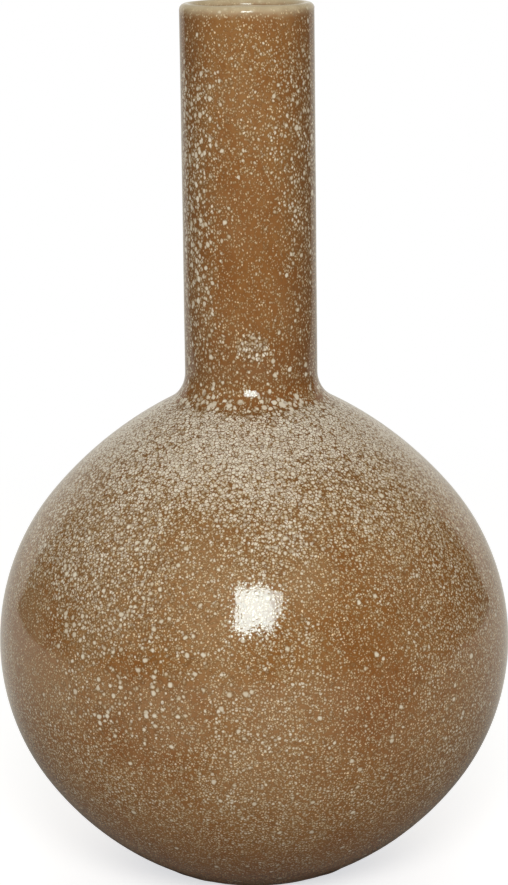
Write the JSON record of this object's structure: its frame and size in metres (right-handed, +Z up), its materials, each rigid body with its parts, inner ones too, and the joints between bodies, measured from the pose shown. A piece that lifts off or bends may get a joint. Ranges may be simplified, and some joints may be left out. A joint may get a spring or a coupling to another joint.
{
  "type": "bottle vase",
  "caption": "Round-bellied bottle vase with a tall straight neck and a rounded lip, glazed inside and out, standing on a bare foot ring.",
  "frame": {"origin": "centre of the foot, on the surface the vase stands on", "axes": "+Z up along the vase's axis of turning; X and Y are alike, because every member is turned about Z"},
  "size_m": [0.294, 0.2938, 0.5],
  "materials": {
    "bare_clay": "unglazed fired stoneware, matt, with fine grog",
    "speckled_glaze": "glossy caramel reactive glaze with pale speckles",
    "liner_glaze": "glossy plain beige glaze"
  },
  "bodies": {
    "root": {"foot_ring": "bare_clay", "lower_bowl": "bare_clay", "belly_seam_slip": "bare_clay", "upper_dome": "bare_clay", "neck_joint_coil": "bare_clay", "neck_tube": "bare_clay", "outer_glaze": "speckled_glaze", "liner_glaze": "liner_glaze"}
  },
  "joints": []
}
